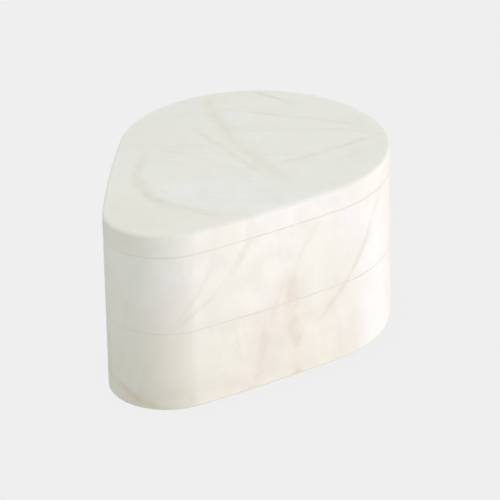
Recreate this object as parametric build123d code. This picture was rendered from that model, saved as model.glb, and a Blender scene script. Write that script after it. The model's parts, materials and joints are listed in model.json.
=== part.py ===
"""Swivelling two-tray vanity box in alabaster.

Three stone pieces share one plan: a narrow round nose, a broad round bowl and two
slightly bowed flanks that run into both. They are stacked as base tray, middle tray
and lid. A steel pin on the nose's centre line ties them together, so that the middle
tray and the lid each swing sideways over the piece below.

Frame: millimetres, +Z up. The origin is on the resting face, under the middle of the
plan. +X runs along the plan from the nose to the bowl.
"""

from build123d import *
from math import hypot, sqrt
import os

# ---- plan shared by the three stones -------------------------------------------------
BOWL_R = 71.7  # broad end
NOSE_R = 31.5  # narrow end, centred on the pivot
CENTRES = 91.6  # from the pivot to the bowl's centre
FLANK_R = 780.0  # bow of the long sides
LENGTH = NOSE_R + CENTRES + BOWL_R
PIVOT_X = -LENGTH / 2 + NOSE_R
BOWL_X = PIVOT_X + CENTRES

# ---- heights, from the resting face up -----------------------------------------------
FELT_T = 0.6
BASE_H = 43.6
MIDDLE_H = 42.85
LID_H = 12.85
SEAM = 0.05  # running gap between two stones, held open by washers and glides
BASE_Z = FELT_T
MIDDLE_Z = BASE_Z + BASE_H + SEAM
LID_Z = MIDDLE_Z + MIDDLE_H + SEAM

# ---- hollows and edges of the stone --------------------------------------------------
WALL = 8.0
BASE_FLOOR = 13.0  # weights the base, so that the box stands with both tiers swung out
MIDDLE_FLOOR = 7.5
BOSS_R = 29.0  # solid stone left round the pin
HOLLOW_CORNER_R = 8.0  # upright corners of a hollow
HOLLOW_FLOOR_R = 5.0  # where a hollow's wall meets its floor
SEAM_EDGE_R = 0.12  # outer edges on both sides of a seam
MOUTH_EDGE_R = 0.9  # inner edge of a tray's rim
LID_TOP_R = 2.5
FOOT_R = 1.0

# ---- pin and the pieces on it --------------------------------------------------------
PIN_R = 4.0
STUD_R = 3.0  # threaded ends of the pin
TOP_STUD = 7.0
BOTTOM_STUD = 7.8
RUNNING = 0.05  # radial clearance of the pin in its bushings
THREAD_GAP = 0.04  # radial, between a stud and the thread that holds it
GLUE_GAP = 0.05  # round a metal piece that is glued into stone
END_GAP = 0.1  # from a glued piece's end to the stone's face
END_CHAMFER = 0.4
BUSHING_R = 5.5
INSERT_R = 6.5
INSERT_H = 8.4
INSERT_HOLE_H = 8.7
GROOVE_W = 1.0  # glue grooves round the insert
GROOVE_DEPTH = 0.5
GROOVE_RISES = (2.2, 5.2)
THRUST_R = 22.0
WASHER_BORE_R = 4.4

# ---- friction stack in the recess under the base -------------------------------------
RECESS_R = 14.0
RECESS_H = 11.4
BEARING_R = 12.0
BEARING_T = 1.0
SPRING_R = 7.5
SPRING_T = 0.5
SPRING_H = 1.1
RETAINER_R = 8.5
RETAINER_T = 1.2
CONTACT_GAP = 0.02  # under the disc spring's rim, which slides on the bearing washer
NUT_FLATS = 10.0
NUT_HEX_H = 4.4
NUT_COLLAR_R = 4.5
NUT_COLLAR_H = 1.6
NUT_POCKET_R = 4.0
NUT_POCKET_H = 1.3
LOCK_RING_GAP = 0.03

# ---- small soft pieces ---------------------------------------------------------------
GLIDE_R = 2.5
GLIDE_EDGE_R = 0.02
GLIDE_BEARINGS = (0, 80, -80)  # degrees round the bowl's centre, from +X
FELT_INSET = 2.5

SPRING_Z = BASE_Z + RECESS_H - BEARING_T - CONTACT_GAP - SPRING_H
RETAINER_Z = SPRING_Z - RETAINER_T
NUT_Z = RETAINER_Z - NUT_HEX_H - NUT_COLLAR_H


def plan(inset=0.0):
    """Face of the shared plan at z = 0, drawn in by inset all round."""
    nose = NOSE_R - inset
    bowl = BOWL_R - inset
    flank = FLANK_R - inset
    # The arc of the +Y flank runs into both end arcs without a corner, so its centre is
    # as far from each end's centre as the two radii differ.
    from_nose = flank - nose
    from_bowl = flank - bowl
    centre_x = (from_nose**2 - from_bowl**2 + CENTRES**2) / (2 * CENTRES)
    centre_y = -sqrt(from_nose**2 - centre_x**2)

    def on_flank(x):
        """Point of the +Y flank on the ray from its centre through (x, 0)."""
        scale = flank / hypot(x - centre_x, centre_y)
        return centre_x + scale * (x - centre_x), centre_y - scale * centre_y

    x_nose, y_nose = on_flank(0)
    x_waist, y_waist = on_flank(CENTRES / 2)
    x_bowl, y_bowl = on_flank(CENTRES)
    outline = [
        ThreePointArc((x_nose, y_nose), (-nose, 0), (x_nose, -y_nose)),
        ThreePointArc((x_nose, -y_nose), (x_waist, -y_waist), (x_bowl, -y_bowl)),
        ThreePointArc((x_bowl, -y_bowl), (CENTRES + bowl, 0), (x_bowl, y_bowl)),
        ThreePointArc((x_bowl, y_bowl), (x_waist, y_waist), (x_nose, y_nose)),
    ]
    return Pos(PIVOT_X, 0, 0) * make_face(outline)


def disc(radius, z, height):
    """Upright cylinder on the pivot's axis, standing on height z."""
    return Pos(PIVOT_X, 0, z) * Cylinder(radius, height, align=(Align.CENTER, Align.CENTER, Align.MIN))


def ring(outer, inner, z, height, chamfered=0.0):
    """Washer or sleeve on the pivot's axis, with its outer edges chamfered."""
    body = disc(outer, z, height)
    if chamfered:
        body = chamfer(body.edges().filter_by(GeomType.CIRCLE), chamfered)
    return body - disc(inner, z - 1, height + 2)


def edges_at(solid, z):
    """Edges of solid that lie at height z."""
    return solid.edges().filter_by_position(Axis.Z, z - 0.001, z + 0.001)


def slab(z, height, top_r, bottom_r):
    """Solid stone of the shared plan, with its top and bottom edges rounded."""
    body = Pos(0, 0, z) * extrude(plan(), height)
    body = fillet(edges_at(body, z + height), top_r)
    return fillet(edges_at(body, z), bottom_r)


def tray(z, height, floor, foot_r):
    """Stone tray: a hollow behind a solid boss, and a bore for the bushing."""
    outline = plan(WALL) - Pos(PIVOT_X, 0, 0) * Circle(BOSS_R)
    outline = fillet(outline.vertices().sort_by(Axis.X)[:2], HOLLOW_CORNER_R)
    hollow = Pos(0, 0, z + floor) * extrude(outline, height)
    hollow = fillet(edges_at(hollow, z + floor), HOLLOW_FLOOR_R)
    body = slab(z, height, SEAM_EDGE_R, foot_r) - hollow
    rim = body.faces().filter_by(Axis.Z).sort_by(Axis.Z)[-1]
    body = fillet([edge for wire in rim.inner_wires() for edge in wire.edges()], MOUTH_EDGE_R)
    return body - disc(BUSHING_R + GLUE_GAP, z - 1, height + 2)


def base_tray():
    """Bottom stone, with a recess under the boss for the nut and its springs."""
    body = tray(BASE_Z, BASE_H, BASE_FLOOR, FOOT_R)
    return body - disc(RECESS_R, BASE_Z - 1, RECESS_H + 1)


def middle_tray():
    return tray(MIDDLE_Z, MIDDLE_H, MIDDLE_FLOOR, SEAM_EDGE_R)


def lid():
    """Top slab, with a blind hole from below for the insert."""
    body = slab(LID_Z, LID_H, LID_TOP_R, SEAM_EDGE_R)
    return body - disc(INSERT_R + GLUE_GAP, LID_Z - 1, INSERT_HOLE_H + 1)


def lid_insert():
    """Threaded brass bush that is glued into the lid and takes the pin's top stud."""
    z = LID_Z + END_GAP
    body = ring(INSERT_R, STUD_R + THREAD_GAP, z, INSERT_H, END_CHAMFER)
    for rise in GROOVE_RISES:
        body -= ring(INSERT_R + 1, INSERT_R - GROOVE_DEPTH, z + rise, GROOVE_W)
    return body


def pivot_pin():
    """Steel pin: a smooth shank with a shoulder and a threaded stud at each end."""
    shank_z = RETAINER_Z + RETAINER_T
    shank_top = LID_Z + END_GAP
    shank = disc(PIN_R, shank_z, shank_top - shank_z)
    stud = disc(STUD_R, shank_z - BOTTOM_STUD, BOTTOM_STUD + shank_top - shank_z + TOP_STUD)
    return shank + chamfer(stud.edges().filter_by(GeomType.CIRCLE), END_CHAMFER)


def bushing(z, top):
    """Brass sleeve for the pin, just short of both faces of its stone."""
    return ring(BUSHING_R, PIN_R + RUNNING, z + END_GAP, top - z - 2 * END_GAP, END_CHAMFER)


def thrust_washer(z):
    """Disc of slippery film that carries the stone above it round the pivot."""
    return ring(THRUST_R, WASHER_BORE_R, z, SEAM)


def rim_glides(z):
    """Clear film dots on a tray's rim, round the bowl, that keep stone off stone."""
    reach = BOWL_R - WALL / 2
    dots = []
    for bearing in GLIDE_BEARINGS:
        dot = Cylinder(GLIDE_R, SEAM, align=(Align.CENTER, Align.CENTER, Align.MIN))
        dot = fillet(edges_at(dot, SEAM), GLIDE_EDGE_R)
        dots.append(Pos(BOWL_X, 0, z) * Rot(0, 0, bearing) * Pos(reach, 0, 0) * dot)
    return Compound(children=dots)


def bearing_washer():
    """Flat steel washer against the recess's ceiling, for the spring to slide on."""
    return ring(BEARING_R, WASHER_BORE_R, BASE_Z + RECESS_H - BEARING_T, BEARING_T)


def disc_spring():
    """Coned steel washer, with its rim up, whose push gives the swivels their drag."""
    rise = SPRING_H - SPRING_T
    section = Polyline(
        (WASHER_BORE_R, 0),
        (SPRING_R, rise),
        (SPRING_R, rise + SPRING_T),
        (WASHER_BORE_R, SPRING_T),
        close=True,
    )
    return Pos(PIVOT_X, 0, SPRING_Z) * revolve(Plane.XZ * make_face(section), Axis.Z)


def retainer_washer():
    """Steel washer that the nut clamps against the pin's lower shoulder."""
    return ring(RETAINER_R, STUD_R + THREAD_GAP, RETAINER_Z, RETAINER_T)


def lock_nut():
    """Hexagon nut, collar down, whose collar holds a nylon locking ring."""
    hexagon = RegularPolygon(NUT_FLATS / 2, 6, major_radius=False)
    body = Pos(PIVOT_X, 0, NUT_Z + NUT_COLLAR_H) * extrude(hexagon, NUT_HEX_H)
    body += disc(NUT_COLLAR_R, NUT_Z, NUT_COLLAR_H)
    body -= disc(NUT_POCKET_R, NUT_Z, NUT_POCKET_H)
    return body - disc(STUD_R + THREAD_GAP, NUT_Z, NUT_COLLAR_H + NUT_HEX_H)


def nut_locking_ring():
    """Nylon ring in the nut's collar."""
    height = NUT_POCKET_H - 2 * LOCK_RING_GAP
    return ring(NUT_POCKET_R - LOCK_RING_GAP, STUD_R + THREAD_GAP, NUT_Z + LOCK_RING_GAP, height)


def base_felt():
    """Felt sheet glued under the base, which also closes the recess."""
    return extrude(plan(FELT_INSET), FELT_T)


PARTS = {
    "base_tray": base_tray(),
    "middle_tray": middle_tray(),
    "lid": lid(),
    "lid_insert": lid_insert(),
    "pivot_pin": pivot_pin(),
    "middle_bushing": bushing(MIDDLE_Z, MIDDLE_Z + MIDDLE_H),
    "base_bushing": bushing(BASE_Z + RECESS_H, BASE_Z + BASE_H),
    "lid_thrust_washer": thrust_washer(LID_Z - SEAM),
    "middle_thrust_washer": thrust_washer(MIDDLE_Z - SEAM),
    "middle_rim_glides": rim_glides(LID_Z - SEAM),
    "base_rim_glides": rim_glides(MIDDLE_Z - SEAM),
    "bearing_washer": bearing_washer(),
    "disc_spring": disc_spring(),
    "retainer_washer": retainer_washer(),
    "lock_nut": lock_nut(),
    "nut_locking_ring": nut_locking_ring(),
    "base_felt": base_felt(),
}

os.makedirs("parts", exist_ok=True)
for node, shape in PARTS.items():
    export_step(shape, f"parts/{node}.step")
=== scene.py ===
"""Looks of the swivelling alabaster box: stone, metal, film and felt, studio and camera.

The stone, the metal and the film keep their CAD shapes and get procedural materials.
The felt under the base is a piece of its own. Lengths are metres, except inside a
material and where a comment says mm.
"""

import json
from collections import namedtuple
from math import atan2, cos, hypot, pi, radians, sin, sqrt

import bmesh
import bpy
import numpy as np
from mathutils import Matrix, Vector, noise


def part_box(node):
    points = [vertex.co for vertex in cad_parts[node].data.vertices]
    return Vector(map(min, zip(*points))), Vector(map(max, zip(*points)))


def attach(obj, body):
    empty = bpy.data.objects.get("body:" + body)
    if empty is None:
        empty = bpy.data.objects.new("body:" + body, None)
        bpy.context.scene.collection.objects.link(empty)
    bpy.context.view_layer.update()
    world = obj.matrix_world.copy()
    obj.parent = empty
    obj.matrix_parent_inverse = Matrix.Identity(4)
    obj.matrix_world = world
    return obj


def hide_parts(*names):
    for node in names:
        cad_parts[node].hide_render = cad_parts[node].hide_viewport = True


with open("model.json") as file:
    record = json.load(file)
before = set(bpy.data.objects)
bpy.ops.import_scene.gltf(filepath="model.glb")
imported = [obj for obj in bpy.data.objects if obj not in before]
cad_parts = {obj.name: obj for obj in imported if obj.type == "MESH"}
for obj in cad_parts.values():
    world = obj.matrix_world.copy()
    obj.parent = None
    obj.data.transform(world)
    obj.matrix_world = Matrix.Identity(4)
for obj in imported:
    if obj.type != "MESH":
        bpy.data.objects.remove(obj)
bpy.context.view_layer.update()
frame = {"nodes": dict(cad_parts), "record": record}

MM = 0.001
X, Y, Z = range(3)

# ---- camera: angles are degrees; an azimuth of 0 looks along +Y, and 90 along -X -------
CAMERA_AZIMUTH = -59.55
CAMERA_ELEVATION = 26.0
CAMERA_ROLL = -1.04
CAMERA_DISTANCE = 1.786
CAMERA_LENS = 240.4
CAMERA_SENSOR = 36.0
AIM_RIGHT = 8.9 * MM
AIM_UP = 43.27 * MM

# ---- studio: azimuths here are turned from the camera towards its right ---------------
PALE = 0.863  # how light the camera sees the floor and all that lies beyond it
AMBIENT = 0.865  # strength of the light from all round
FLOOR_SIZE = 6.0
FLOOR_BOUNCE = 0.55  # share of the light on the floor that it gives back
CONTACT_REACH = 0.02  # how near to the box the floor is shaded
CONTACT_DEPTH = 0.015
LAMP_AIM = Vector((0, 0, 0.05))
Softbox = namedtuple("Softbox", "name azimuth elevation distance size power colour")
SOFTBOXES = (
    Softbox("key", 66, -22, 3.2, 1.2, 38.6, (1.0, 0.90, 0.95)),
    Softbox("side", 120, -15, 1.6, 0.7, 4.4, (1.0, 0.93, 0.92)),
)

# ---- veins: bent sheets that run through the whole stack ------------------------------
# at: a point on the sheet, mm.  strike: degrees of its level line, 0 being +X.
# dip: lean from upright, degrees.  half: half width, mm.  curl: bend along the level
# line, 1/mm.  reach: how far from that point it shows, mm.  depth: share of its hue.
# bow: bend with height, 1/mm.
Vein = namedtuple("Vein", "hue at strike dip half curl reach depth bow", defaults=(0.0,))
VEINS = (
    # On the lid's top.
    Vein("olive", (27, 14, 100), 52, 20, 4.2, 0.0026, 76, 0.24),
    Vein("olive", (-54, 18, 100), 58, 10, 3.4, 0.0215, 56, 0.52),
    Vein("rose", (11, 9, 100), 62, 15, 2.0, 0.0, 46, 0.22),
    Vein("rose", (83, 22, 100), 77, 0, 1.4, 0.0, 20, 0.45),
    Vein("rose", (63, 5, 100), 103, 5, 1.4, 0.0, 46, 0.28),
    Vein("rose", (64, -42, 100), 104, 5, 1.0, 0.0, 26, 0.24),
    Vein("rose", (34, -37, 100), 152, 10, 1.5, 0.0, 42, 0.28),
    Vein("grey", (-5, 23, 100), 90, 0, 1.0, 0.0, 22, 0.22),
    # On the near flank and the nose.
    Vein("tan", (-66, -36, 68), 64, 47, 1.8, 0.0, 44, 0.28, -0.024),
    Vein("grey", (-78, -29, 68), 60, 32, 1.8, 0.0, 34, 0.18, -0.018),
    Vein("amber", (-29, -54, 16), 64, -2, 3.8, 0.0, 55, 0.56),
    Vein("tan", (-27, -55.6, 67), 64, 29, 2.0, 0.0, 38, 0.22, 0.017),
    Vein("rose", (-44, -47, 30), 64, 20, 3.8, 0.0, 40, 0.30),
    Vein("tan", (11, -70.6, 55), 85, 40, 1.8, 0.0, 48, 0.36, -0.008),
    # Low in the base: two soft stains, and a vein across the nose.
    Vein("rose", (-53, -41, 9), 64, 78, 8.0, 0.0, 24, 0.20),
    Vein("olive", (-89, -10, 4), 64, 84, 8.0, 0.0, 26, 0.16),
    Vein("amber", (-97, 5.6, 8), 0, -68, 2.4, 0.0, 30, 0.38),
    # On the far flank and the broad end.
    Vein("olive", (-18, 58, 46), 112, -28, 2.6, 0.0, 56, 0.40),
    Vein("tan", (30, 71, 38), 98, -14, 2.2, 0.0, 52, 0.36),
    Vein("amber", (66, 58, 34), 40, -32, 3.2, 0.0, 54, 0.42),
    Vein("grey", (-60, 40, 40), 120, 35, 1.8, 0.0, 50, 0.28),
    Vein("olive", (95, -8, 44), 12, 30, 2.8, 0.0, 54, 0.38),
    Vein("rose", (92, 30, 36), 20, -20, 2.4, 0.0, 44, 0.38),
)
CORE_HALF = 0.30  # half width of a vein's darker strands, as a share of its own
CORE_DEPTH = 0.28
STRANDS_APART = 0.7  # how far its two strands part, in its own half widths
STRAND_NOISE = (0.045, 2.0)  # of where they part
PATCH_NOISE = 0.06  # frequency of the patches in which a vein is thinner, per mm
PATCH_LEAST = 0.40  # share of its strength that is left in them

# ---- body of the stone ----------------------------------------------------------------
HUES = {
    "milk": (0.930, 0.930, 0.895),
    "cream": (0.860, 0.847, 0.738),
    "dusk": (0.800, 0.792, 0.722),
    # painted shade: the darker, warmer hue of the band along each seam
    "painted_seam_shade": (0.858, 0.850, 0.738),
    "olive": (0.64, 0.62, 0.42),
    "tan": (0.66, 0.60, 0.44),
    "rose": (0.70, 0.57, 0.49),
    "amber": (0.68, 0.56, 0.43),
    "grey": (0.62, 0.61, 0.54),
}
BODY = (0.900, 0.903, 0.822)
BEDDING = Vector((0.88, 0.45, 0.12)).normalized()  # across the layers of the stone
# Folds of the layers: noise frequency per mm, and how far it shifts a point, mm.
FOLDS = ((0.020, 9.0), (0.07, 4.0), (0.25, 1.0))
# Noises are given as frequency per mm, octaves, roughness and distortion.
CLOUD = (0.018, 5.0, 0.55)
CLOUDY = (0.42, 0.68)  # levels of it between which the milky clouds grow
CLOUDLESS = (0.60, 0.42)  # levels of it between which the level beds grow
HAIRLINES = (0.090, 3.0, 0.5, 0.4)
HAIRLINE_PATCHES = (0.054, 2.0)
HAIRLINE_HALF = 0.012  # how near to its middle the noise of 0..1 shows as a line
HAIRLINE_DEPTH = 0.10

# Tints, laid one over another.  depth: share of its hue at its strongest.  within: limits
# it keeps to, each an axis and the places on it where the tint starts and is full, mm.
# noise: its pattern.  shows: levels of the pattern between which the tint grows.  least:
# share of it that is left outside the pattern.  drawn: how the pattern is drawn out, in
# streaks along the bedding or in level beds.
Tint = namedtuple(
    "Tint", "hue depth within noise shows least drawn", defaults=((), None, None, 0.0, None)
)
TINTS = (
    # Warmer towards the bottom at the narrow end, and paler there at the broad end.
    Tint("cream", 0.95, ((Z, 78, 32), (X, 22, -10)), (0.013, 3.0), (0.30, 0.55), least=0.55),
    Tint("milk", 0.40, ((X, 4, 50), (Z, 66, 30))),
    # Creamier on the lid over the nose.
    Tint("cream", 0.65, ((X, -50, -80), (Y, -25, 5), (Z, 84, 92))),
    # Duskier in blotches and on the far side, with a blush low in the stack, and mottled.
    Tint("dusk", 0.20, (), (0.05, 3.0), (0.50, 0.70)),
    Tint("dusk", 0.28, ((Y, 15, 65),)),
    Tint("rose", 0.22, ((Z, 65, 15), (X, 22, -10), (X, -80, -45)), (0.04, 3.0), (0.45, 0.75)),
    Tint("dusk", 0.14, (), (0.15, 4.0, 0.55), (0.46, 0.72)),
    # Long faint streaks.
    Tint("dusk", 0.32, (), (0.16, 6.0, 0.62), (0.48, 0.78), drawn="streaks"),
    Tint("milk", 0.30, (), (0.31, 4.0, 0.6), (0.52, 0.75), drawn="streaks"),
)
# Level beds low in the stack, shown only between the clouds.
BEDS = Tint("dusk", 0.24, ((Z, 46, 22),), (0.30, 4.0, 0.6), (0.47, 0.66), drawn="beds")
STREAK_DRAW = 0.10  # share of a noise's frequency that is left along the bedding
BED_DRAW = (0.07, 0.07, 1.0)  # and along each axis in a level bed

# ---- surface of the stone -------------------------------------------------------------
GRAIN = (1.6, 3.0, 0.7)
CRYSTALS = (0.58, 0.80, 0.0, 0.18)  # levels of the grain that show paler, and how strongly
POLISH = (0.10, 4.0)
HONED = (0.36, 0.48)  # roughness where it is best and least polished
TOOLED_ROUGHER = 0.12
TOOL_MARKS = (0.8, 3.0, 0.6, 1.5)
TOOL_SWEEP = (0.2, 0.2, 1.5)  # factors on their frequency along each axis
GLOW = 0.45  # how much of its light comes from under the surface
GLOW_REACH = 1.5 * MM
RELIEF = 0.03 * MM
PAINTED_SEAM_SHADE_HALF = 0.36  # half width of the band of painted shade along each seam, mm
ARRIS_DULL = 1.6  # half width of the band by a seam that glows less, mm
ARRIS_LOST = 0.75  # share of the glow that is lost at the seam itself
HARD_EDGE = 25.0  # faces that meet at a sharper angle, degrees, are shaded apart
TRAYS = ("base_tray", "middle_tray")
FACING_IN = 0.1  # margin by which a hollow's wall faces the tray's middle, mm
RIM_DEPTH = 2.0  # how far below a tray's top its hollow's floor has to lie, mm
# Heights of the faces that meet at the two seams, mm: (node, 0 its bottom or 1 its top).
SEAM_FACES = (("base_tray", 1), ("middle_tray", 0), ("middle_tray", 1), ("lid", 0))
RIMS = [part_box(node)[end].z / MM for node, end in SEAM_FACES]

# ---- hardware and felt: each one's colour at both ends of its own pattern -------------
BRASS = ((0.80, 0.61, 0.30), (0.55, 0.38, 0.17))
STEEL = ((0.62, 0.62, 0.61), (0.50, 0.49, 0.46))
FILM = ((0.88, 0.87, 0.82), (0.80, 0.79, 0.73))
CLEAR = ((0.88, 0.88, 0.82), (0.80, 0.80, 0.74))
WOOL = ((0.50, 0.46, 0.39), (0.80, 0.76, 0.68))
DARK_HAIR = (0.22, 0.19, 0.16)

# ---- felt sheet, mm -------------------------------------------------------------------
FELT_SIDES = 360
FELT_INSETS = (0.0, 0.04, 0.12, 0.25, 0.6, 1.6)  # its outer rings, in from its edge
FELT_SHARES = (0.93, 0.84, 0.73, 0.6, 0.46, 0.3, 0.15)  # its inner rings, as shares of the last
FELT_ROLL = 0.25  # radius of its soft edge
FELT_GAP = 0.02  # between its top and the stone
FELT_WELD = 1e-4  # its two faces share the vertices of its edge that lie this near
# How unevenly it was cut, and its underside's nap: depth, rough wavelength and seed.
FELT_CUT = (0.35, 12.0, 0.0)
FELT_NAP = (0.05, 3.0, 7.0)
# middle: of the sheet, m.  half: half its thickness.  angles, radii: its outline round the middle.
Sheet = namedtuple("Sheet", "middle half angles radii")


class Graph:
    """Writes a node tree as nested calls. A value is a socket or a number."""

    def __init__(self, tree):
        self.tree = tree
        self.tree.nodes.clear()

    def node(self, kind, inputs=None, **settings):
        node = self.tree.nodes.new(kind)
        for key, value in settings.items():
            setattr(node, key, value)
        for key, value in (inputs or {}).items():
            self.plug(node.inputs[key], value)
        return node

    def plug(self, socket, value):
        if isinstance(value, bpy.types.NodeSocket):
            self.tree.links.new(value, socket)
        elif socket.type == "RGBA" and len(value) == 3:
            socket.default_value = (*value, 1.0)
        else:
            socket.default_value = value

    def math(self, operation, *values):
        return self.node("ShaderNodeMath", dict(enumerate(values)), operation=operation).outputs[0]

    def product(self, *values):
        result = values[0]
        for value in values[1:]:
            result = self.math("MULTIPLY", result, value)
        return result

    def vector(self, operation, *values):
        inputs = dict(enumerate(values))
        return self.node("ShaderNodeVectorMath", inputs, operation=operation).outputs["Vector"]

    def dot(self, vector, direction):
        inputs = {0: vector, 1: tuple(direction)}
        return self.node("ShaderNodeVectorMath", inputs, operation="DOT_PRODUCT").outputs["Value"]

    def length(self, vector):
        return self.node("ShaderNodeVectorMath", {0: vector}, operation="LENGTH").outputs["Value"]

    def join(self, x, y, z):
        return self.node("ShaderNodeCombineXYZ", {0: x, 1: y, 2: z}).outputs[0]

    def parts(self, vector):
        return self.node("ShaderNodeSeparateXYZ", {0: vector}).outputs

    def noise(self, vector, scale, detail=2.0, roughness=0.5, distortion=0.0):
        """Smooth noise of about 0..1. The scale is per millimetre."""
        inputs = {"Vector": vector, "Scale": scale, "Detail": detail}
        inputs.update({"Roughness": roughness, "Distortion": distortion})
        return self.node("ShaderNodeTexNoise", inputs).outputs[0]

    def noises(self, vector, scale, detail=2.0):
        """Three unrelated noises as a vector."""
        inputs = {"Vector": vector, "Scale": scale, "Detail": detail}
        return self.node("ShaderNodeTexNoise", inputs).outputs[1]

    def bell(self, value, half):
        """1 where value is 0, falling off smoothly over half."""
        share = self.math("DIVIDE", value, half)
        return self.math("EXPONENT", self.product(share, share, -1.0))

    def span(self, value, low, high, to_low=0.0, to_high=1.0):
        """Smoothly maps low..high to to_low..to_high, held beyond them. low may be above high."""
        inputs = {"Value": value, "From Min": low, "From Max": high}
        inputs.update({"To Min": to_low, "To Max": to_high})
        node = self.node("ShaderNodeMapRange", inputs, interpolation_type="SMOOTHSTEP")
        return node.outputs["Result"]

    def mix(self, share, first, second):
        """Colour that is first at share 0 and second at share 1."""
        node = self.node("ShaderNodeMix", {0: share, 6: first, 7: second}, data_type="RGBA")
        return node.outputs[2]

    def bump(self, height, depth):
        """Normal for a relief of height 0..1, depth metres deep."""
        inputs = {"Height": height, "Strength": 1.0, "Distance": depth}
        return self.node("ShaderNodeBump", inputs).outputs[0]


class Finish(Graph):
    """Graph of one material, whose point is the shaded place at rest, in millimetres."""

    def __init__(self, name):
        self.material = bpy.data.materials.new(name)
        self.material.use_nodes = True
        super().__init__(self.material.node_tree)
        place = self.node("ShaderNodeTexCoord").outputs["Object"]
        inputs = {0: place, "Scale": 1 / MM}
        self.point = self.node("ShaderNodeVectorMath", inputs, operation="SCALE").outputs[0]

    def surface(self, **inputs):
        named = {key.replace("_", " "): value for key, value in inputs.items()}
        shader = self.node("ShaderNodeBsdfPrincipled", named)
        self.node("ShaderNodeOutputMaterial", {"Surface": shader.outputs[0]})
        return self.material


def folded(g):
    """The shaded place, shifted as the stone was when its layers folded."""
    point = g.point
    for frequency, shift in FOLDS:
        push = g.vector("SUBTRACT", g.noises(g.point, frequency), (0.5, 0.5, 0.5))
        point = g.vector("ADD", point, g.vector("MULTIPLY", push, (shift, shift, shift)))
    return point


def bedded(g, place, drawn_out):
    """The place in axes across and along the bedding, drawn out along it."""
    level = Vector((0, 0, 1)).cross(BEDDING).normalized()
    upright = BEDDING.cross(level)
    across = g.dot(place, BEDDING)
    return g.join(across, g.dot(place, level * drawn_out), g.dot(place, upright * drawn_out))


def vein_mask(g, place, vein, patch, parting):
    """How strongly one bent sheet shows at the place, 0..1.

    The patch thins it here and there, and the parting splits it into two strands.
    """
    strike, dip = radians(vein.strike), radians(vein.dip)
    along = (cos(strike), sin(strike), 0)
    across = (-sin(strike) * cos(dip), cos(strike) * cos(dip), sin(dip))
    offset = g.vector("SUBTRACT", place, vein.at)
    away = g.dot(offset, across)
    if vein.curl:
        run = g.dot(offset, along)
        away = g.math("ADD", away, g.product(run, run, vein.curl / 2))
    if vein.bow:
        rise = g.parts(offset)[Z]
        away = g.math("ADD", away, g.product(rise, rise, vein.bow / 2))
    band = g.bell(away, vein.half)
    apart = g.product(parting, vein.half * STRANDS_APART)
    strands = g.bell(g.math("SUBTRACT", g.math("ABSOLUTE", away), apart), vein.half * CORE_HALF)
    line = g.math("ADD", g.product(band, 1 - CORE_DEPTH), g.product(strands, CORE_DEPTH))
    from_middle = g.length(g.vector("SUBTRACT", g.point, vein.at))
    fade = g.span(from_middle, vein.reach, vein.reach * 0.5)
    return g.product(line, fade, patch, vein.depth)


def tint_mask(g, place, tint):
    """How strongly a tint shows at the place, 0..1."""
    mask = tint.depth
    for axis, start, full in tint.within:
        mask = g.product(mask, g.span(g.parts(g.point)[axis], start, full))
    if tint.noise:
        if tint.drawn == "streaks":
            place = bedded(g, place, STREAK_DRAW)
        elif tint.drawn == "beds":
            place = g.vector("MULTIPLY", place, BED_DRAW)
        pattern = g.span(g.noise(place, *tint.noise), *tint.shows, tint.least, 1.0)
        mask = g.product(mask, pattern)
    return mask


def hairline_mask(g, place):
    """Fine lines where a noise crosses its middle, in scattered patches."""
    web = g.noise(bedded(g, place, STREAK_DRAW), *HAIRLINES)
    line = g.bell(g.math("SUBTRACT", web, 0.5), HAIRLINE_HALF)
    scattered = g.span(g.noise(g.point, *HAIRLINE_PATCHES), 0.46, 0.62)
    return g.product(line, scattered, HAIRLINE_DEPTH)


def veined(g, place, colour):
    """The colour with the listed veins laid over it."""
    patches = g.parts(g.noises(g.point, PATCH_NOISE))
    patches = [g.span(patch, 0.36, 0.60, PATCH_LEAST, 1.0) for patch in patches]
    parting = g.span(g.noise(g.point, *STRAND_NOISE), 0.42, 0.62)
    for index, vein in enumerate(VEINS):
        mask = vein_mask(g, place, vein, patches[index % 3], parting)
        colour = g.mix(mask, colour, HUES[vein.hue])
    return colour


def seam_edges(g, colour):
    """The colour and the glow, with painted shade in a band along each seam and the arrises less
    translucent.

    Only upright faces change, so that the seams stay faint and the open rims carry no painted
    shade.
    """
    glow = GLOW
    height = g.parts(g.point)[Z]
    lean = g.parts(g.node("ShaderNodeNewGeometry").outputs["Normal"])[Z]
    upright = g.span(g.math("ABSOLUTE", lean), 0.95, 0.5)
    for rim in RIMS:
        from_rim = g.math("SUBTRACT", height, rim)
        # Painted shade: a darker, warmer band along each seam, on upright faces only.
        colour = g.mix(g.product(g.bell(from_rim, PAINTED_SEAM_SHADE_HALF), upright), colour, HUES["painted_seam_shade"])
        dulled = g.product(g.bell(from_rim, ARRIS_DULL), upright, ARRIS_LOST)
        glow = g.product(g.math("SUBTRACT", 1.0, dulled), glow)
    return colour, glow


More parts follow.
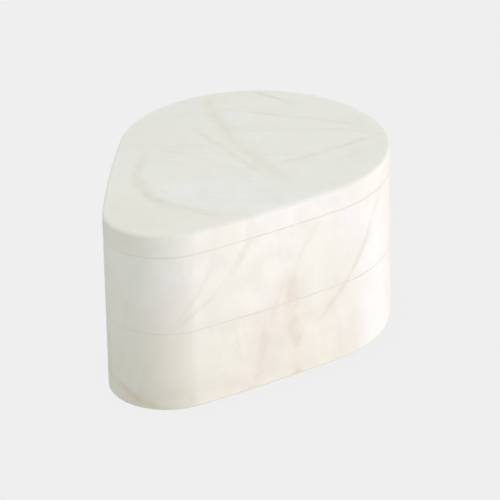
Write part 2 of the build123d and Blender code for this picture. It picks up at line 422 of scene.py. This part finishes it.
def alabaster(name, tooled):
    """Honed alabaster: cloudy body, bedding streaks, hairlines and coloured veins.

    A tooled face has the faint swirl that a carving bit leaves in a hollow.
    """
    g = Finish(name)
    place = folded(g)
    cloud = g.noise(place, *CLOUD)
    colour = g.mix(g.span(cloud, *CLOUDY), BODY, HUES["milk"])
    for tint in TINTS:
        colour = g.mix(tint_mask(g, place, tint), colour, HUES[tint.hue])
    beds = g.product(tint_mask(g, place, BEDS), g.span(cloud, *CLOUDLESS))
    colour = g.mix(beds, colour, HUES[BEDS.hue])
    colour = g.mix(hairline_mask(g, place), colour, HUES["grey"])
    colour = veined(g, place, colour)
    colour, glow = seam_edges(g, colour)

    # Crystal grain, and a honed finish that dulls in patches.
    grain = g.noise(g.point, *GRAIN)
    colour = g.mix(g.span(grain, *CRYSTALS), colour, HUES["milk"])
    finish = g.span(g.noise(g.point, *POLISH), 0.3, 0.7, *HONED)
    relief = g.math("ADD", g.product(grain, 0.6), g.product(cloud, 0.4))
    if tooled:
        marks = g.noise(g.vector("MULTIPLY", g.point, TOOL_SWEEP), *TOOL_MARKS)
        relief = g.math("ADD", relief, g.product(marks, 1.2))
        finish = g.math("ADD", finish, TOOLED_ROUGHER)
    return g.surface(
        Base_Color=colour,
        Roughness=finish,
        IOR=1.52,
        Specular_IOR_Level=0.32,
        Subsurface_Weight=glow,
        Subsurface_Radius=(1.0, 1.0, 1.0),
        Subsurface_Scale=GLOW_REACH,
        Normal=g.bump(relief, RELIEF),
    )


def turned(g):
    """Fine rings round the pivot, as a lathe leaves them: a noise of radius and height."""
    low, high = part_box("pivot_pin")
    axis = ((low + high) / 2).xy / MM
    x, y, z = g.parts(g.vector("SUBTRACT", g.point, (axis.x, axis.y, 0)))
    radius = g.length(g.join(x, y, 0.0))
    return g.noise(g.join(g.product(radius, 3.0), 0.0, g.product(z, 3.0)), 1.5, 3.0, 0.65)


def brass():
    """Turned brass, dulled and browned in patches."""
    g = Finish("brass")
    rings = turned(g)
    tarnish = g.span(g.noise(g.point, 0.35, 4.0), 0.45, 0.7)
    colour = g.mix(tarnish, *BRASS)
    roughness = g.math("ADD", g.span(rings, 0.3, 0.7, 0.20, 0.32), g.product(tarnish, 0.15))
    normal = g.bump(rings, 0.01 * MM)
    return g.surface(Base_Color=colour, Metallic=1.0, Roughness=roughness, Normal=normal)


def steel():
    """Ground steel with a thin, uneven film of oil."""
    g = Finish("steel")
    rings = turned(g)
    oil = g.span(g.noise(g.point, 0.25, 4.0), 0.42, 0.65)
    colour = g.mix(oil, *STEEL)
    roughness = g.math("SUBTRACT", g.span(rings, 0.3, 0.7, 0.26, 0.40), g.product(oil, 0.10))
    normal = g.bump(rings, 0.006 * MM)
    return g.surface(Base_Color=colour, Metallic=1.0, Roughness=roughness, Normal=normal)


def slip_film():
    """Waxy off-white film, mottled, with fine rings where it has rubbed."""
    g = Finish("slip_film")
    rings = turned(g)
    mottle = g.noise(g.point, 0.5, 4.0)
    colour = g.mix(g.span(mottle, 0.35, 0.7), *FILM)
    roughness = g.span(rings, 0.35, 0.65, 0.38, 0.55)
    return g.surface(
        Base_Color=colour,
        Roughness=roughness,
        Subsurface_Weight=0.2,
        Subsurface_Scale=0.001,
        Normal=g.bump(rings, 0.008 * MM),
    )


def clear_film():
    """Hazy dot with an orange-peel face, in the tone of the stone that shows through it."""
    g = Finish("clear_film")
    haze = g.noise(g.point, 1.2, 3.0)
    colour = g.mix(g.span(haze, 0.4, 0.7), *CLEAR)
    return g.surface(
        Base_Color=colour,
        Roughness=g.span(haze, 0.3, 0.7, 0.10, 0.22),
        IOR=1.45,
        Normal=g.bump(haze, 0.01 * MM),
    )


def felt():
    """Pressed wool: two crossing runs of matted fibres, a nap and a few darker hairs."""
    g = Finish("felt")
    x, y, z = g.parts(g.point)
    first = g.noise(g.join(g.product(x, 4.0), g.product(y, 0.8), z), 1.0, 4.0, 0.7, 1.2)
    second = g.noise(g.join(g.product(x, 0.8), g.product(y, 4.0), z), 1.1, 4.0, 0.7, 1.2)
    fibres = g.math("MAXIMUM", first, second)
    colour = g.mix(g.span(fibres, 0.35, 0.75), *WOOL)
    hairs = g.bell(g.math("SUBTRACT", g.noise(g.point, 0.35, 3.0, 0.5, 2.5), 0.5), 0.006)
    colour = g.mix(g.product(hairs, 0.4), colour, DARK_HAIR)
    return g.surface(
        Base_Color=colour,
        Roughness=0.95,
        Sheen_Weight=0.35,
        Sheen_Roughness=0.5,
        Normal=g.bump(fibres, 0.12 * MM),
    )


def even_normals(node):
    """Shades the faces that meet smoothly as one, and leaves the node's shape as it is."""
    node.modifiers.new("weld", "WELD").merge_threshold = 0.001 * MM
    split = node.modifiers.new("hard_edges", "EDGE_SPLIT")
    split.split_angle = radians(HARD_EDGE)
    split.use_edge_sharp = False
    weighted = node.modifiers.new("normals", "WEIGHTED_NORMAL")
    weighted.mode = "FACE_AREA"


def dress_nodes(finishes, tooled_stone):
    """Gives every CAD node the finish of its slot, and each hollow its tooled stone.

    The stones also get even shading.
    """
    for part in frame["record"]["subparts"]:
        mesh = frame["nodes"][part["node"]].data
        mesh.materials.clear()
        mesh.materials.append(finishes[part["material_slot"]])
        if part["material_slot"] == "alabaster":
            even_normals(frame["nodes"][part["node"]])
    for name in TRAYS:
        mesh = frame["nodes"][name].data
        mesh.materials.append(tooled_stone)
        low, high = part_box(name)
        middle = (low + high) / 2
        # A hollow's walls look towards the tray's middle, and its floor lies below the rim.
        for face in mesh.polygons:
            facing_in = (face.center - middle).xy.dot(face.normal.xy) < -FACING_IN * MM
            floor = face.normal.z > 0.5 and face.center.z < high.z - RIM_DEPTH * MM
            face.material_index = int(facing_in or floor)


def wander(x, y, depth, pitch, seed):
    """Smooth value of 0..depth at a place in the plan. The pitch is its rough wavelength."""
    return depth * (0.5 + 0.5 * noise.noise(Vector((x / pitch, y / pitch, seed))))


def felt_ring(sheet, side, inset, share):
    """Places of one ring of the sheet's upper face, side 1, or its lower one, side -1.

    The ring lies inset mm in from the edge, drawn in further to a share of that.
    """
    rolled = max(1 - inset / FELT_ROLL, 0.0)
    fullness = sqrt(1 - rolled**2)
    ring = []
    for step in range(FELT_SIDES):
        angle = 2 * pi * step / FELT_SIDES - pi
        radius = np.interp(angle, sheet.angles, sheet.radii, period=2 * pi)
        x, y = radius * cos(angle), radius * sin(angle)
        shrink = share * (radius - inset - wander(x, y, *FELT_CUT)) / radius
        x, y = x * shrink, y * shrink
        uneven = wander(x, y, *FELT_NAP) if side < 0 else -FELT_GAP
        place = Vector((x, y, (side * sheet.half + uneven) * fullness))
        ring.append(sheet.middle + place * MM)
    return ring


def build_felt(material):
    """Felt sheet under the base: hand-cut edge, soft roll, slightly uneven underside."""
    low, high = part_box("base_felt")
    middle = (low + high) / 2
    outline = [(vertex.co - middle) / MM for vertex in frame["nodes"]["base_felt"].data.vertices]
    outline = sorted((atan2(place.y, place.x), hypot(place.x, place.y)) for place in outline)
    sheet = Sheet(middle, (high.z - low.z) / 2 / MM, *zip(*outline))
    steps_in = [(inset, 1.0) for inset in FELT_INSETS]
    steps_in += [(FELT_INSETS[-1], share) for share in FELT_SHARES]

    mesh = bmesh.new()
    edge = []
    for side in (-1, 1):
        rings = [felt_ring(sheet, side, inset, share) for inset, share in steps_in]
        rings = [[mesh.verts.new(place) for place in ring] for ring in rings]
        for outer, inner in zip(rings, rings[1:]):
            join_rings(mesh, outer, inner)
        hub = mesh.verts.new((middle.x, middle.y, rings[-1][0].co.z))
        for a, b in neighbours(rings[-1]):
            mesh.faces.new((a, b, hub))
        edge += rings[0]
    bmesh.ops.remove_doubles(mesh, verts=edge, dist=FELT_WELD * MM)
    bmesh.ops.recalc_face_normals(mesh, faces=mesh.faces)
    return add_piece("felt_sheet", mesh, material)


def neighbours(ring):
    return zip(ring, ring[1:] + ring[:1])


def join_rings(mesh, outer, inner):
    for (a, b), (c, d) in zip(neighbours(outer), neighbours(inner)):
        mesh.faces.new((a, b, d, c))


def add_piece(name, mesh, material):
    """Turns a bmesh into a smooth-shaded object in the scene."""
    data = bpy.data.meshes.new(name)
    mesh.to_mesh(data)
    mesh.free()
    data.materials.append(material)
    for face in data.polygons:
        face.use_smooth = True
    piece = bpy.data.objects.new(name, data)
    bpy.context.scene.collection.objects.link(piece)
    return piece


def heading(azimuth, elevation):
    """Unit vector along an azimuth, 0 being +Y and 90 being -X, raised by an elevation."""
    a, e = radians(azimuth), radians(elevation)
    return Vector((-sin(a) * cos(e), cos(a) * cos(e), sin(e)))


def add_camera():
    """Camera at the product shot's angle."""
    forward = heading(CAMERA_AZIMUTH, -CAMERA_ELEVATION)
    level = forward.cross(Vector((0, 0, 1))).normalized()
    roll = Matrix.Rotation(-radians(CAMERA_ROLL), 3, forward)
    right = roll @ level
    up = right.cross(forward)
    aim = right * AIM_RIGHT + up * AIM_UP
    camera = bpy.data.objects.new("camera", bpy.data.cameras.new("camera"))
    camera.data.lens = CAMERA_LENS
    camera.data.sensor_width = CAMERA_SENSOR
    turn = Matrix((right, up, -forward)).transposed().to_4x4()
    camera.matrix_world = Matrix.Translation(aim - forward * CAMERA_DISTANCE) @ turn
    bpy.context.scene.collection.objects.link(camera)
    bpy.context.scene.camera = camera


def add_softbox(box):
    lamp = bpy.data.lights.new(box.name, "AREA")
    lamp.shape = "SQUARE"
    lamp.size = box.size
    lamp.energy = box.power
    lamp.color = box.colour
    lamp_object = bpy.data.objects.new(box.name, lamp)
    towards = heading(CAMERA_AZIMUTH + 180 + box.azimuth, box.elevation)
    lamp_object.location = LAMP_AIM + towards * box.distance
    lamp_object.rotation_euler = towards.to_track_quat("Z", "Y").to_euler()
    bpy.context.scene.collection.objects.link(lamp_object)


def add_floor():
    """Large pale floor. The camera sees it evenly lit, with a trace of contact shade."""
    half = FLOOR_SIZE / 2
    corners = [(-half, -half, 0), (half, -half, 0), (half, half, 0), (-half, half, 0)]
    mesh = bpy.data.meshes.new("floor")
    mesh.from_pydata(corners, [], [(0, 1, 2, 3)])
    floor = bpy.data.objects.new("floor", mesh)
    bpy.context.scene.collection.objects.link(floor)
    floor.visible_shadow = False  # the softboxes shine up through it, as through a glass table
    g = Finish("floor")
    inputs = {"Distance": CONTACT_REACH}
    shade = g.node("ShaderNodeAmbientOcclusion", inputs, samples=16).outputs["AO"]
    level = g.span(shade, 0.0, 1.0, PALE * (1 - CONTACT_DEPTH), PALE)
    seen = g.node("ShaderNodeEmission", {"Color": level, "Strength": 1.0}).outputs[0]
    bounce = g.node("ShaderNodeBsdfDiffuse", {"Color": (FLOOR_BOUNCE,) * 3}).outputs[0]
    direct = g.node("ShaderNodeLightPath").outputs["Is Camera Ray"]
    mix = g.node("ShaderNodeMixShader", {0: direct, 1: bounce, 2: seen})
    g.node("ShaderNodeOutputMaterial", {"Surface": mix.outputs[0]})
    mesh.materials.append(g.material)


def add_world():
    """Even pale surroundings: one level for the camera, another for the light they give."""
    world = bpy.data.worlds.new("studio")
    world.use_nodes = True
    g = Graph(world.node_tree)
    direct = g.node("ShaderNodeLightPath").outputs["Is Camera Ray"]
    level = g.span(direct, 0.0, 1.0, AMBIENT, PALE)
    back = g.node("ShaderNodeBackground", {"Color": (1.0, 1.0, 1.0), "Strength": level})
    g.node("ShaderNodeOutputWorld", {"Surface": back.outputs[0]})
    bpy.context.scene.world = world


FINISHES = {
    "alabaster": alabaster("alabaster", tooled=False),
    "brass_hardware": brass(),
    "steel_hardware": steel(),
    "slip_film": slip_film(),
    "clear_glide": clear_film(),
    "felt": felt(),
}
dress_nodes(FINISHES, alabaster("alabaster_hollow", tooled=True))
felt_sheet = build_felt(FINISHES["felt"])
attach(felt_sheet, "base")
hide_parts("base_felt")

add_camera()
add_world()
add_floor()
for softbox in SOFTBOXES:
    add_softbox(softbox)
bpy.context.scene.view_settings.view_transform = "Standard"
bpy.context.scene.cycles.use_denoising = True
